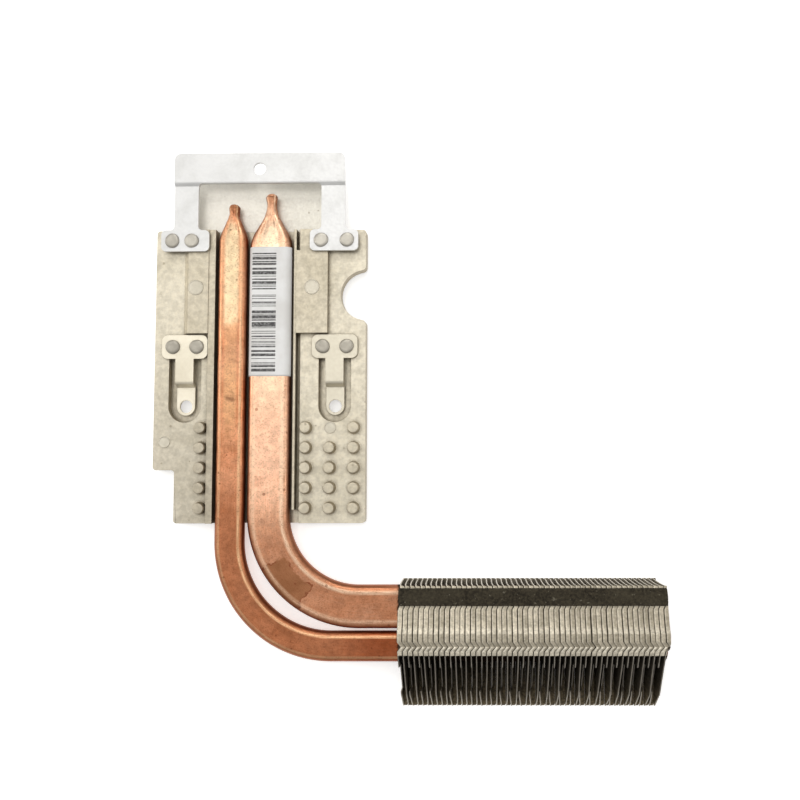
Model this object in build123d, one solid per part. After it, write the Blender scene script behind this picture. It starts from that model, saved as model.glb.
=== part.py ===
from build123d import *
import os
from math import cos, hypot, radians, sin

# Heatsink of a laptop: a die-cast base, two flattened heat pipes and a stack of zipper fins.
# Millimetres. The origin is the centre of the chip contact face, under the base.
# X runs along the fin stack, Y points from the stack towards the bracket, Z points away from the board.

# Base casting
plate_width = 52.2
plate_length = 72.4
plate_top = 24.2
plate_corner_radius = 0.8
step_width = 5.3
step_length = 12.95
notch_radius = 6.25
notch_y = 7.8
notch_mouth_radius = 1.2
wing_thickness = 2.8
floor_thickness = 1.2
rail_outer_x = -12.7
rail_width = 1.65
rail_rise = 1.0
wall_thickness = 0.6
wall_short_of_bend = 0.9
wall_short_of_edge = 3.3
groove_width = 0.9
groove_depth = 1.2
groove_mouth = 5.3
block_rise = 1.2
block_end_y = -1.7
left_block_width = 6.3
left_block_slope = 1.3
right_block_width = 7.8
tongue_width = 40.0
tongue_length = 12.9
tongue_thickness = 0.9
tongue_corner_radius = 2.0
contact_width = 25.0
contact_height = 0.6

# Cooling pins and ejector marks of the casting, small rounds that are made with a few flats
post_flat_count = 12
pin_radius = 1.45
pin_draft = 7.0
pin_height = 2.0
pin_rows = 5
pin_columns = 3
pin_first_y = -24.95
pin_short_of_edge = 3.73
pin_pitch_x = 5.86
left_pin_x = -14.2
right_pin_x = 11.6
mark_rise = 0.12
block_mark_radius = 1.85
block_mark_y = 9.7
block_mark_inset = 3.1
wing_mark_radius = 1.4
wing_mark_x = -23.35
wing_mark_y = -28.35

# Rivet posts, cast with the base and peened over the sheet pieces
rivet_radius = 1.25
rivet_head_radius = 1.75
rivet_head_height = 0.45
rivet_head_draft = 30.0
shank_flat_count = 8
rivet_clearance = 0.1
rivet_boss_radius = 2.3

# Mounting bracket
bracket_sheet = 0.7
bar_length = 42.3
bar_above_hole = 4.0
bar_below_hole = 3.5
bar_corner_radius = 1.6
bar_rise = 0.55
bar_joggle = 0.8
bracket_hole_y = 39.0
screw_hole_radius = 1.55
leg_width = 5.9
leg_corner_radius = 1.0
foot_width = 11.9
foot_length = 5.3
foot_corner_radius = 1.2
foot_x = 18.4
foot_inset = 0.3
foot_rivet_offset = 3.2
short_rivet_offset = 1.6
sheet_bend_radius = 0.4

# Spring arms
arm_sheet = 0.6
arm_x = 18.5
arm_hole_y = -19.6
arm_head_width = 11.3
arm_head_length = 5.9
arm_head_corner_radius = 1.5
arm_width = 4.5
arm_drop = 1.5
arm_joggle_y = -13.6
arm_joggle = 1.0
arm_rivet_spacing = 5.9
arm_head_gap = 0.3
pocket_width = 8.0
pocket_under_head = 0.6
pocket_clearance = 0.5
screw_passage_radius = 1.9

# Heat pipes, pressed flat from round tube
tube_flat_count = 8
pipe_thickness = 3.4
narrow_pipe_width = 7.3
wide_pipe_width = 10.4
pipe_gap = 0.55
pipe_side_gap = 0.6
narrow_bend_radius = 25.0
wide_bend_radius = 22.3
narrow_tip_y = 30.8
narrow_flare_start = 20.9
narrow_flare_length = 7.8
wide_tip_y = 33.4
wide_flare_start = 19.9
wide_flare_length = 9.9
nozzle_width = 2.7
nozzle_thickness = 2.4
nozzle_tip_length = 0.7
nozzle_tip_draw = 0.5
flare_section_count = 6
pipe_end_length = 1.2
pipe_end_draw = 0.9
pipe_end_past_stack = 1.8

# Label stuck over the wide pipe
label_length = 32.0
label_below_flare = 0.3
label_thickness = 0.1
label_wrap_depth = 1.2

# Fin stack
fin_count = 52
fin_pitch = 1.19
fin_thickness = 0.25
fin_seam = 0.1
fin_pipe_clearance = 0.1
fin_pipe_wall = 1.0
slot_flat_count = 8
stack_start_x = 35.2
stack_inner_y = -61.9
inner_height = 12.0
ridge_out = 12.8
ridge_height = 15.5
shoulder_out = 15.5
shoulder_height = 13.6
knee_out = 26.3
knee_height = 6.2
foot_out = 30.6
ridge_relief = 0.9
ridge_land = 0.25
outlet_notch_from_shoulder = 3.9
outlet_notch_depth = 3.0

# Foam gasket on the stack
foam_width = 4.0
foam_thickness = 0.8
foam_inset = 0.6

# Heights above the contact face
under_z = contact_height
wing_z = under_z + wing_thickness
channel_z = under_z + floor_thickness
rail_z = wing_z + rail_rise
block_z = wing_z + block_rise
groove_z = wing_z - groove_depth
pocket_z = wing_z - arm_drop - pocket_clearance
pipe_z = channel_z + pipe_thickness / 2

# Places in plan, worked out from the rail beside the pipes
plate_bottom = plate_top - plate_length
pin_pitch_y = (pin_first_y - plate_bottom - pin_short_of_edge) / (pin_rows - 1)
channel_left = rail_outer_x + rail_width
narrow_x = channel_left + pipe_side_gap + narrow_pipe_width / 2
wide_x = narrow_x + narrow_pipe_width / 2 + pipe_gap + wide_pipe_width / 2
channel_right = wide_x + wide_pipe_width / 2 + pipe_side_gap
wall_right = channel_right + wall_thickness
groove_right = wall_right + groove_width
wide_stack_y = stack_inner_y - fin_pipe_wall - wide_pipe_width / 2
narrow_stack_y = wide_stack_y - wide_pipe_width / 2 - pipe_gap - narrow_pipe_width / 2
stack_end_x = stack_start_x + fin_count * fin_pitch
pipe_end_x = stack_end_x + pipe_end_past_stack
foot_top = plate_top - foot_inset
foot_mid_y = foot_top - foot_length / 2
arm_head_top = block_end_y - arm_head_gap
arm_head_mid_y = arm_head_top - arm_head_length / 2
arm_head_bottom = arm_head_top - arm_head_length
bracket_rivets = [(-foot_x - foot_rivet_offset, foot_mid_y), (-foot_x + short_rivet_offset, foot_mid_y),
                  (foot_x - foot_rivet_offset, foot_mid_y), (foot_x + foot_rivet_offset, foot_mid_y)]
arm_rivets = [(side * arm_x + d, arm_head_mid_y)
              for side in (-1, 1) for d in (-arm_rivet_spacing / 2, arm_rivet_spacing / 2)]


def slab(x0, x1, y0, y1, z0, z1):
    # A straight block between two corners.
    corner_box = Box(x1 - x0, y1 - y0, z1 - z0, align=(Align.MIN, Align.MIN, Align.MIN))
    return Pos(x0, y0, z0) * corner_box


def post(x, y, z, radius, height, flats=post_flat_count, draft=0):
    # An upright post standing on height z, narrowing by its draft angle.
    return extrude(Pos(x, y, z) * RegularPolygon(radius, flats), height, taper=draft)


def rounded_plate(x, y, width, length, radius):
    # A flat outline with round corners, centred on x and y.
    return Pos(x, y) * RectangleRounded(width, length, radius)


def plate_outline():
    # The base seen from above: a rectangle with one stepped corner and a half-round notch.
    outline = Pos(0, plate_top - plate_length / 2) * Rectangle(plate_width, plate_length)
    step_x = -plate_width / 2 + step_width / 2
    outline -= Pos(step_x, plate_bottom + step_length / 2) * Rectangle(step_width, step_length)
    outline = fillet(outline.vertices(), plate_corner_radius)
    outline -= Pos(plate_width / 2, notch_y) * Circle(notch_radius)
    mouth = [v for v in outline.vertices() if abs(abs(v.Y - notch_y) - notch_radius) < plate_corner_radius]
    return fillet(mouth, notch_mouth_radius)


def pocket_outline(x):
    # The round-ended pocket under a spring arm, concentric with the screw hole.
    top = arm_head_bottom + pocket_under_head
    run = Pos(x, (top + arm_hole_y) / 2) * Rectangle(pocket_width, top - arm_hole_y)
    return run + Pos(x, arm_hole_y) * Circle(pocket_width / 2)


def left_block():
    # The left block has a sloped outer side and runs into the rail.
    outer = rail_outer_x - left_block_width
    section = make_face(Polyline((outer, wing_z), (outer + left_block_slope, block_z),
                                 (rail_outer_x, block_z), (rail_outer_x, wing_z), close=True))
    return Pos(0, plate_top, 0) * extrude(Plane.XZ * section, plate_top - block_end_y)


def peened_post(x, y, seat_z, sheet):
    # A shank through the sheet with a flattened head on top of it.
    shank = post(x, y, seat_z, rivet_radius, sheet, flats=shank_flat_count)
    head = post(x, y, seat_z + sheet, rivet_head_radius, rivet_head_height, draft=rivet_head_draft)
    return [shank, head]


def pin_places():
    # One column left of the pipes and a grid right of them, which leaves one place for an ejector mark.
    places = []
    for row in range(pin_rows):
        y = pin_first_y - row * pin_pitch_y
        places.append((left_pin_x, y))
        for column in range(pin_columns):
            if (row, column) != (0, 1):
                places.append((right_pin_x + column * pin_pitch_x, y))
    return places


def ejector_marks():
    left = rail_outer_x - block_mark_inset
    right = wall_right + right_block_width / 2
    return [
        post(left, block_mark_y, block_z, block_mark_radius, mark_rise),
        post(right, block_mark_y, block_z, block_mark_radius, mark_rise),
        post(wing_mark_x, wing_mark_y, wing_z, wing_mark_radius, mark_rise),
        post(right_pin_x + pin_pitch_x, pin_first_y, wing_z, wing_mark_radius, mark_rise),
    ]


def base_casting():
    past = plate_corner_radius
    casting = Pos(0, 0, under_z) * extrude(plate_outline(), wing_thickness)
    tongue_mid = plate_top + (tongue_length - tongue_corner_radius) / 2
    tongue = rounded_plate(0, tongue_mid, tongue_width, tongue_length + tongue_corner_radius, tongue_corner_radius)
    pedestal = Rectangle(contact_width, contact_width)
    casting += [Pos(0, 0, under_z) * extrude(tongue, tongue_thickness), extrude(pedestal, contact_height)]
    # The pipe channel is open at both ends. The wall beside it stops short of the plate's edge and of the bend.
    bend_y = bend_start_y(wide_stack_y, wide_bend_radius)
    wall_end = max(plate_bottom + wall_short_of_edge, bend_y + wall_short_of_bend)
    casting -= [
        slab(channel_left, channel_right, plate_bottom - past, plate_top + past, channel_z, rail_z),
        slab(channel_right, groove_right, plate_bottom - past, wall_end, channel_z, rail_z),
        slab(wall_right, groove_right, plate_bottom - past, plate_top + past, groove_z, rail_z),
    ]
    casting += [
        slab(rail_outer_x, channel_left, plate_bottom, plate_top, channel_z, rail_z),
        slab(channel_right, wall_right, wall_end, plate_top, channel_z, rail_z),
        slab(wall_right, wall_right + right_block_width, block_end_y, plate_top, groove_z, block_z),
        left_block(),
    ]
    casting -= slab(wall_right, groove_right, plate_top - groove_mouth, plate_top + past, groove_z, block_z)
    for x in (-arm_x, arm_x):
        casting -= Pos(0, 0, pocket_z) * extrude(pocket_outline(x), wing_z)
        casting -= Pos(x, arm_hole_y) * Cylinder(screw_passage_radius, 2 * wing_z)
    added = [post(x, y, wing_z, pin_radius, pin_height, draft=pin_draft) for x, y in pin_places()]
    added += ejector_marks()
    for x, y in bracket_rivets:
        added.append(post(x, y, wing_z, rivet_boss_radius, block_rise))
        added += peened_post(x, y, block_z, bracket_sheet)
    for x, y in arm_rivets:
        added += peened_post(x, y, wing_z, arm_sheet)
    return casting + added


def folded_sheet(path, thickness, half_width):
    # A sheet bent along a path of Y and Z points, wide enough to be trimmed to its plan outline.
    underside = FilletPolyline(*path, radius=sheet_bend_radius)
    side = make_face(offset(underside, thickness, side=Side.LEFT))
    return extrude(Plane.YZ * side, half_width, both=True)


def sheet_holes(rivets):
    return [Pos(x, y) * RegularPolygon(rivet_radius + rivet_clearance, shank_flat_count) for x, y in rivets]


def mounting_bracket():
    bar_low = bracket_hole_y - bar_below_hole
    bar_top = bracket_hole_y + bar_above_hole
    bar_mid = (bar_low + bar_top) / 2
    leg_outer = bar_length / 2
    leg_mid = leg_outer - leg_width / 2
    outline = rounded_plate(0, bar_mid, bar_length, bar_top - bar_low, bar_corner_radius)
    outline += Pos(0, bar_low + bar_corner_radius / 2) * Rectangle(bar_length, bar_corner_radius)
    for side in (-1, 1):
        outline += Pos(side * leg_mid, (bar_low + foot_mid_y) / 2) * Rectangle(leg_width, bar_low - foot_mid_y)
        outline += rounded_plate(side * foot_x, foot_mid_y, foot_width, foot_length, foot_corner_radius)
    leg_sides = [v for v in outline.vertices() if abs(abs(abs(v.X) - leg_mid) - leg_width / 2) < rivet_clearance]
    inner = [v for v in leg_sides if abs(v.Y - foot_top) < rivet_clearance
             or (abs(v.Y - bar_low) < rivet_clearance and abs(v.X) < leg_mid)]
    outline = fillet(inner, leg_corner_radius)
    outline -= [Pos(0, bracket_hole_y) * Circle(screw_hole_radius), *sheet_holes(bracket_rivets)]
    margin = bar_length
    path = [(foot_mid_y - margin, block_z), (bar_low - bar_joggle / 2, block_z),
            (bar_low + bar_joggle / 2, block_z + bar_rise), (bar_top + margin, block_z + bar_rise)]
    return folded_sheet(path, bracket_sheet, margin) & extrude(outline, block_z + bar_rise + margin)


def spring_arm(x):
    outline = rounded_plate(x, arm_head_mid_y, arm_head_width, arm_head_length, arm_head_corner_radius)
    outline += Pos(x, (arm_head_mid_y + arm_hole_y) / 2) * Rectangle(arm_width, arm_head_mid_y - arm_hole_y)
    outline += Pos(x, arm_hole_y) * Circle(arm_width / 2)
    rivets = [place for place in arm_rivets if place[0] * x > 0]
    outline -= [Pos(x, arm_hole_y) * Circle(screw_hole_radius), *sheet_holes(rivets)]
    margin = arm_head_width + arm_x
    path = [(arm_hole_y - margin, wing_z - arm_drop), (arm_joggle_y - arm_joggle, wing_z - arm_drop),
            (arm_joggle_y, wing_z), (arm_head_top + margin, wing_z)]
    return folded_sheet(path, arm_sheet, margin) & extrude(outline, wing_z + margin)


def flat_tube(width, thickness):
    # The section of a pressed tube: flat faces above and below, round sides made with a few flats.
    radius = thickness / 2
    corners = []
    for centre, first_turn in ((width / 2 - radius, -90), (radius - width / 2, 90)):
        for corner in range(tube_flat_count + 1):
            turn = radians(first_turn + 180 * corner / tube_flat_count)
            corners.append((centre + radius * cos(turn), radius * sin(turn)))
    return make_face(Polyline(*corners, close=True))


def bend_start_y(stack_y, bend_radius):
    # Where the straight run down the base turns into the bend.
    return stack_y + bend_radius


def narrowing(plane, lengths, shares, large, small):
    # Straight bands along the plane's normal through flat tubes that go from a large section to a small one.
    sections = []
    for length, share in zip(lengths, shares):
        width = small[0] + (large[0] - small[0]) * share
        thickness = small[1] + (large[1] - small[1]) * share
        sections.append(plane * Pos(0, 0, length) * flat_tube(width, thickness))
    return loft(sections, ruled=True)


def drawn_end(plane, length, section, draw):
    # A closed end, drawn in all round by the same amount.
    return narrowing(plane, [0, length], [1, 0], section, (section[0] - draw, section[1] - draw))


def heat_pipe(x, stack_y, width, bend_radius, flare_start, flare_length, tip_y):
    # Straight down the base, round the bend and through the stack, with a pinched nozzle at the top.
    turn_y = bend_start_y(stack_y, bend_radius)
    end_x = pipe_end_x - pipe_end_length
    section = (width, pipe_thickness)
    down = Line((x, flare_start, pipe_z), (x, turn_y, pipe_z))
    bend = CenterArc((x + bend_radius, turn_y, pipe_z), bend_radius, 180, 90)
    along = Line((x + bend_radius, stack_y, pipe_z), (end_x, stack_y, pipe_z))
    across = Plane((x, flare_start, pipe_z), x_dir=(1, 0, 0), z_dir=(0, -1, 0))
    pipe = sweep(across * flat_tube(*section), path=down + bend + along)
    far_end = Plane((end_x, stack_y, pipe_z), x_dir=(0, 1, 0), z_dir=(1, 0, 0))
    pipe += drawn_end(far_end, pipe_end_length, section, pipe_end_draw)
    # The flare narrows to the nozzle along half a cosine wave.
    up = Plane((x, flare_start, pipe_z), x_dir=(1, 0, 0), z_dir=(0, 1, 0))
    steps = [step / (flare_section_count - 1) for step in range(flare_section_count)]
    shares = [(1 + cos(radians(180) * t)) / 2 for t in steps]
    nozzle = (nozzle_width, nozzle_thickness)
    pipe += narrowing(up, [flare_length * t for t in steps], shares, section, nozzle)
    neck_end = tip_y - flare_start - nozzle_tip_length
    pipe += extrude(up * Pos(0, 0, flare_length) * flat_tube(*nozzle), neck_end - flare_length)
    return pipe + drawn_end(up * Pos(0, 0, neck_end), nozzle_tip_length, nozzle, nozzle_tip_draw)


def barcode_label():
    # A strip of paper that follows the pipe's top and turns down over its round sides.
    top = wide_flare_start - label_below_flare
    across = Plane((wide_x, top, pipe_z), x_dir=(1, 0, 0), z_dir=(0, -1, 0))
    skin_width = wide_pipe_width + 2 * label_thickness
    skin_top = pipe_thickness / 2 + label_thickness
    skin = flat_tube(skin_width, 2 * skin_top) - flat_tube(wide_pipe_width, pipe_thickness)
    keep = Pos(0, skin_top - label_wrap_depth / 2) * Rectangle(skin_width, label_wrap_depth)
    return extrude(across * (skin & keep), label_length)


def stack_point(out, height):
    # A point of the fin profile in the Y and Z plane, out from the fan-side face.
    return (stack_inner_y - out, height)


def pipe_slot():
    # One slot that fits round both pipes, with three flats at each round end.
    inner = wide_stack_y + wide_pipe_width / 2
    outer = narrow_stack_y - narrow_pipe_width / 2
    straight = (inner - outer - pipe_thickness) / 2
    half_flat = radians(180) / slot_flat_count
    reach = (pipe_thickness / 2 + fin_pipe_clearance) / cos(half_flat)
    points = []
    for corner in range(slot_flat_count):
        turn = half_flat * (2 * corner + 1)
        side = straight if cos(turn) > 0 else -straight
        points.append(((inner + outer) / 2 + side + reach * cos(turn), pipe_z + reach * sin(turn)))
    return make_face(Polyline(*points, close=True))


def flange(start, end, relieved=()):
    # A strip folded towards the next fin, between two points of the profile. At a relieved point a wedge
    # is cut out of the fold, which leaves a narrow land at the free edge.
    run_y = end[0] - start[0]
    run_z = end[1] - start[1]
    length = hypot(run_y, run_z)
    reach = fin_pitch - fin_seam
    frame = Plane((0, start[0], start[1]), x_dir=(0, run_y, run_z), z_dir=(0, -run_z, run_y))
    strip = Pos(length / 2, -reach / 2) * Rectangle(length, reach)
    for point in relieved:
        at = hypot(point[0] - start[0], point[1] - start[1])
        wedge = Polyline((at - ridge_relief, 0), (at + ridge_relief, 0), (at, ridge_land - reach), close=True)
        strip -= make_face(wedge)
    return extrude(frame * strip, fin_thickness)


def fin(notched):
    # One fin with its web at X zero. The top flanges are relieved where the profile turns at the ridge.
    toe = stack_point(0, 0)
    top = stack_point(0, inner_height)
    ridge = stack_point(ridge_out, ridge_height)
    shoulder = stack_point(shoulder_out, shoulder_height)
    knee = stack_point(knee_out, knee_height)
    foot = stack_point(foot_out, 0)
    points = [toe, top, ridge, shoulder]
    if notched:
        points += outlet_notch(shoulder, knee)
    points += [knee, foot]
    web = make_face(Polyline(*points, close=True)) - pipe_slot()
    sheet = extrude(Plane.YZ * web, fin_thickness)
    return sheet + [flange(top, ridge, [ridge]), flange(ridge, shoulder, [ridge]), flange(foot, toe)]


def outlet_notch(shoulder, knee):
    # Corners of the cut in the sloped outlet edge, which comes back to the edge at the knee.
    run_y = knee[0] - shoulder[0]
    run_z = knee[1] - shoulder[1]
    length = hypot(run_y, run_z)
    inward = (-run_z * outlet_notch_depth / length, run_y * outlet_notch_depth / length)
    share = outlet_notch_from_shoulder / length
    start = (shoulder[0] + run_y * share, shoulder[1] + run_z * share)
    return [start, (start[0] + inward[0], start[1] + inward[1]), (knee[0] + inward[0], knee[1] + inward[1])]


def foam_strip():
    # A flat strip lying on the sloped top flanges, a little in from the fan-side edge.
    top = stack_point(0, inner_height)
    ridge = stack_point(ridge_out, ridge_height)
    run_y = ridge[0] - top[0]
    run_z = ridge[1] - top[1]
    last_edge = stack_end_x - fin_seam
    frame = Plane((last_edge, top[0], top[1]), x_dir=(0, run_y, run_z), z_dir=(0, -run_z, run_y))
    length = last_edge - stack_start_x
    strip = Pos(foam_inset + foam_width / 2, length / 2) * Rectangle(foam_width, length)
    return extrude(frame * strip, -foam_thickness)


os.makedirs("parts", exist_ok=True)
pieces = {
    "base_casting": base_casting(),
    "mounting_bracket": mounting_bracket(),
    "left_spring_arm": spring_arm(-arm_x),
    "right_spring_arm": spring_arm(arm_x),
    "narrow_heat_pipe": heat_pipe(narrow_x, narrow_stack_y, narrow_pipe_width, narrow_bend_radius,
                                  narrow_flare_start, narrow_flare_length, narrow_tip_y),
    "wide_heat_pipe": heat_pipe(wide_x, wide_stack_y, wide_pipe_width, wide_bend_radius,
                                wide_flare_start, wide_flare_length, wide_tip_y),
    "barcode_label": barcode_label(),
    "foam_strip": foam_strip(),
}
plain_fin = fin(False)
notched_fin = fin(True)
for number in range(1, fin_count + 1):
    shape = notched_fin if number % 2 else plain_fin
    pieces["fin_%02d" % number] = Pos(stack_start_x + (number - 1) * fin_pitch, 0, 0) * shape
for name, piece in pieces.items():
    export_step(piece, "parts/%s.step" % name)
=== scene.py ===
import bmesh
import bpy
import math
import numpy as np
from mathutils import Euler, Matrix, Vector


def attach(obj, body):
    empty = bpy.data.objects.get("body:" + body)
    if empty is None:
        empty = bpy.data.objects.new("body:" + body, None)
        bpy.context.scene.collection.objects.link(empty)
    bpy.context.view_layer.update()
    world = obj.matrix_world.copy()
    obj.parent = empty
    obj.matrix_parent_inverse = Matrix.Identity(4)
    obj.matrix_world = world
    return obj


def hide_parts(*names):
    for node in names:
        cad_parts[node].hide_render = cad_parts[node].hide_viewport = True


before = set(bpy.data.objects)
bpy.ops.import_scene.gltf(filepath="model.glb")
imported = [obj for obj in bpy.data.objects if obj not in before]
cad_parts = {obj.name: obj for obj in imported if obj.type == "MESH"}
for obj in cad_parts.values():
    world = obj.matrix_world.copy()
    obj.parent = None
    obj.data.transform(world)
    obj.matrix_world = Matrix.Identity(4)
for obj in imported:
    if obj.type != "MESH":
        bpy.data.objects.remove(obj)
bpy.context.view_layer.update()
mm = 0.001
scene = bpy.context.scene
draw = np.random.default_rng(11)
print("stage: frame loaded,", len(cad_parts), "nodes")

# Points this close, in metres, are joined in made grids, and in sheets and CAD meshes
seamGap = 1e-7
sheetGap = 2e-6


# Four corners of every cell of a grid
def cellCorners(grid):
    return np.stack([grid[:-1, :-1], grid[:-1, 1:], grid[1:, 1:], grid[1:, :-1]], axis=2)


# Quads of a grid. A wrapped grid joins its last column to its first.
def gridQuads(rows, cols, wrap):
    index = np.arange(rows * cols).reshape(rows, cols)
    if wrap:
        index = np.concatenate([index, index[:, :1]], axis=1)
    return cellCorners(index).reshape(-1, 4)


# Two values of each grid point, repeated for the corners of its quads
def cornerMap(first, second):
    return cellCorners(np.stack(np.broadcast_arrays(first, second), axis=-1))


def newObject(name, data):
    thing = bpy.data.objects.new(name, data)
    scene.collection.objects.link(thing)
    return thing


# Mesh object from whole arrays. Points that meet are joined.
def meshObject(name, points, faces, mapGrid=None, values=None, weld=seamGap, turnOut=True, crispRim=False):
    mesh = bpy.data.meshes.new(name)
    mesh.from_pydata(points.reshape(-1, 3).tolist(), [], faces.tolist())
    if mapGrid is not None:
        layer = mesh.uv_layers.new(name="surfaceMap")
        layer.data.foreach_set("uv", mapGrid.reshape(-1).astype(np.float32))
    for key, value in (values or {}).items():
        attribute = mesh.attributes.new(key, "FLOAT", "POINT")
        value = np.broadcast_to(value, points.shape[:-1])
        attribute.data.foreach_set("value", value.reshape(-1).astype(np.float32))
    work = bmesh.new()
    work.from_mesh(mesh)
    bmesh.ops.remove_doubles(work, verts=work.verts, dist=weld)
    if turnOut:
        bmesh.ops.recalc_face_normals(work, faces=work.faces)
    work.to_mesh(mesh)
    work.free()
    mesh.shade_smooth()
    if crispRim:
        edgeOf = np.zeros(len(mesh.loops), np.int32)
        mesh.loops.foreach_get("edge_index", edgeOf)
        rim = np.bincount(edgeOf, minlength=len(mesh.edges)) == 1
        mesh.attributes.new("sharp_edge", "BOOLEAN", "EDGE").data.foreach_set("value", rim)
    return newObject(name, mesh)


# Points of a grid in metres, from places in millimetres
def gridPoints(x, y, z):
    return np.stack(np.broadcast_arrays(x, y, z), axis=-1) * mm


# Random heights blurred over grid cells, with mean 0 and spread 1
def softNoise(rows, cols, blurRows, blurCols):
    raw = draw.normal(size=(rows, cols))
    waveRow = np.fft.fftfreq(rows)[:, None] * blurRows
    waveCol = np.fft.fftfreq(cols)[None, :] * blurCols
    spectrum = np.fft.fft2(raw) * np.exp(-2 * np.pi ** 2 * (waveRow ** 2 + waveCol ** 2))
    soft = np.real(np.fft.ifft2(spectrum))
    return (soft - soft.mean()) / (soft.std() + 1e-12)


# Share of the full section at a distance from a rounded end
def roundedEnd(distance, radius):
    gap = np.clip(1 - distance / radius, 0, 1)
    return np.sqrt(np.clip(1 - gap ** 2, 0, 1))


# Every piece rides on the one body, takes a slot and may stand for CAD nodes
def settle(piece, material, nodes=()):
    piece.data.materials.clear()
    piece.data.materials.append(material)
    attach(piece, "root")
    if nodes:
        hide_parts(*nodes)


# A shader node. A value that is a socket is linked, any other is set.
def add(tree, kind, values=None, **settings):
    node = tree.nodes.new("ShaderNode" + kind)
    for key, value in settings.items():
        setattr(node, key, value)
    for key, value in (values or {}).items():
        if isinstance(value, bpy.types.NodeSocket):
            tree.links.new(value, node.inputs[key])
        else:
            node.inputs[key].default_value = value
    return node


# A node in the tree of the sockets that it is linked to
def join(kind, values, **settings):
    sockets = [value for value in values.values() if isinstance(value, bpy.types.NodeSocket)]
    return add(sockets[0].id_data, kind, values, **settings)


def calc(operation, first, second=0.0, clamp=False):
    return join("Math", {0: first, 1: second}, operation=operation, use_clamp=clamp).outputs[0]


def times(first, second, clamp=False):
    return calc("MULTIPLY", first, second, clamp)


def plus(first, second):
    return calc("ADD", first, second)


def minus(first, second, clamp=False):
    return calc("SUBTRACT", first, second, clamp)


def blend(factor, first, second, kind="MIX"):
    values = {0: factor, 6: first, 7: second}
    return join("Mix", values, data_type="RGBA", blend_type=kind).outputs[2]


def span(value, low, high, toLow=0.0, toHigh=1.0):
    values = {0: value, 1: low, 2: high, 3: toLow, 4: toHigh}
    return join("MapRange", values, interpolation_type="SMOOTHSTEP").outputs[0]


def noise(vector, scale, detail, rough=0.55, distortion=0.0):
    values = {"Vector": vector, "Scale": scale, "Detail": detail, "Roughness": rough,
              "Distortion": distortion}
    return join("TexNoise", values).outputs[0]


def coordinate(tree, kind="Object"):
    return add(tree, "TexCoord").outputs[kind]


def axesOf(vector):
    return join("SeparateXYZ", {0: vector}).outputs


def stretched(vector, scale, turn=0.0):
    values = {"Vector": vector, "Rotation": (0.0, 0.0, turn), "Scale": scale}
    return join("Mapping", values).outputs[0]


def stored(tree, name):
    return add(tree, "Attribute", attribute_name=name).outputs["Fac"]


# A soft step along one axis, between two places in millimetres
def stepAt(axis, ends, toLow=0.0, toHigh=1.0):
    return span(axis, ends[0] * mm, ends[1] * mm, toLow, toHigh)


# A mask that rises over one range of a value and falls over another
def between(value, rise, fall):
    return times(span(value, *rise), span(value, *fall, 1.0, 0.0))


# Noise spread between two ends, as soft patches
def patches(vector, ends, **sizes):
    return span(noise(vector, **sizes), *ends)


# A colour made darker and lighter by fine patches
def mottled(colour, **sizes):
    shade = patches(coordinate(colour.id_data), **sizes)
    grey = join("CombineColor", {0: shade, 1: shade, 2: shade}).outputs[0]
    return blend(1.0, colour, grey, "MULTIPLY")


# A tint over a colour, by a mask and an amount
def stained(colour, mask, amount, tint):
    return blend(times(mask, amount), colour, tint)


# Painted shade, with some grime, where other faces stand within a distance in millimetres: corners, recesses
# and gaps between parts are darkened
def cornerShadeAndGrime(colour, distance, ends, tint):
    bare = add(colour.id_data, "AmbientOcclusion", {"Distance": distance * mm}, samples=6)
    return blend(span(bare.outputs["AO"], *ends), colour, tint)


# Links of a finish. Its relief is strength and depth in millimetres.
def dress(shader, colour, rough=None, height=None, relief=None):
    links = shader.id_data.links
    links.new(colour, shader.inputs["Base Color"])
    if rough is not None:
        links.new(rough, shader.inputs["Roughness"])
    if height is not None:
        values = {"Height": height, "Strength": relief[0], "Distance": relief[1] * mm}
        links.new(join("Bump", values).outputs[0], shader.inputs["Normal"])


def newMaterial(name, metallic, roughness, specular=0.5):
    material = bpy.data.materials.new(name)
    material.use_nodes = True
    tree = material.node_tree
    tree.nodes.clear()
    output = add(tree, "OutputMaterial")
    values = {"Metallic": metallic, "Roughness": roughness, "Specular IOR Level": specular}
    shader = add(tree, "BsdfPrincipled", values)
    tree.links.new(shader.outputs[0], output.inputs[0])
    return material, tree, shader


def useGroup(tree, group, **values):
    return add(tree, "Group", values, node_tree=group).outputs


# Shared surface marks: blotches, grain, dark specks and hairlines, by object place
markInputs = dict(blotchScale=120, grainScale=2500, speckScale=500, speckSize=0.12, lineScale=300)
markLook = dict(
    blotch=dict(detail=5, rough=0.6, distortion=0.4), grain=dict(detail=2, rough=0.6), speckChance=0.72,
    lineTurn=0.5, lineStretch=(14, 0.35, 1), line=dict(detail=2, rough=0.5, ends=(0.66, 0.74)))


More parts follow.
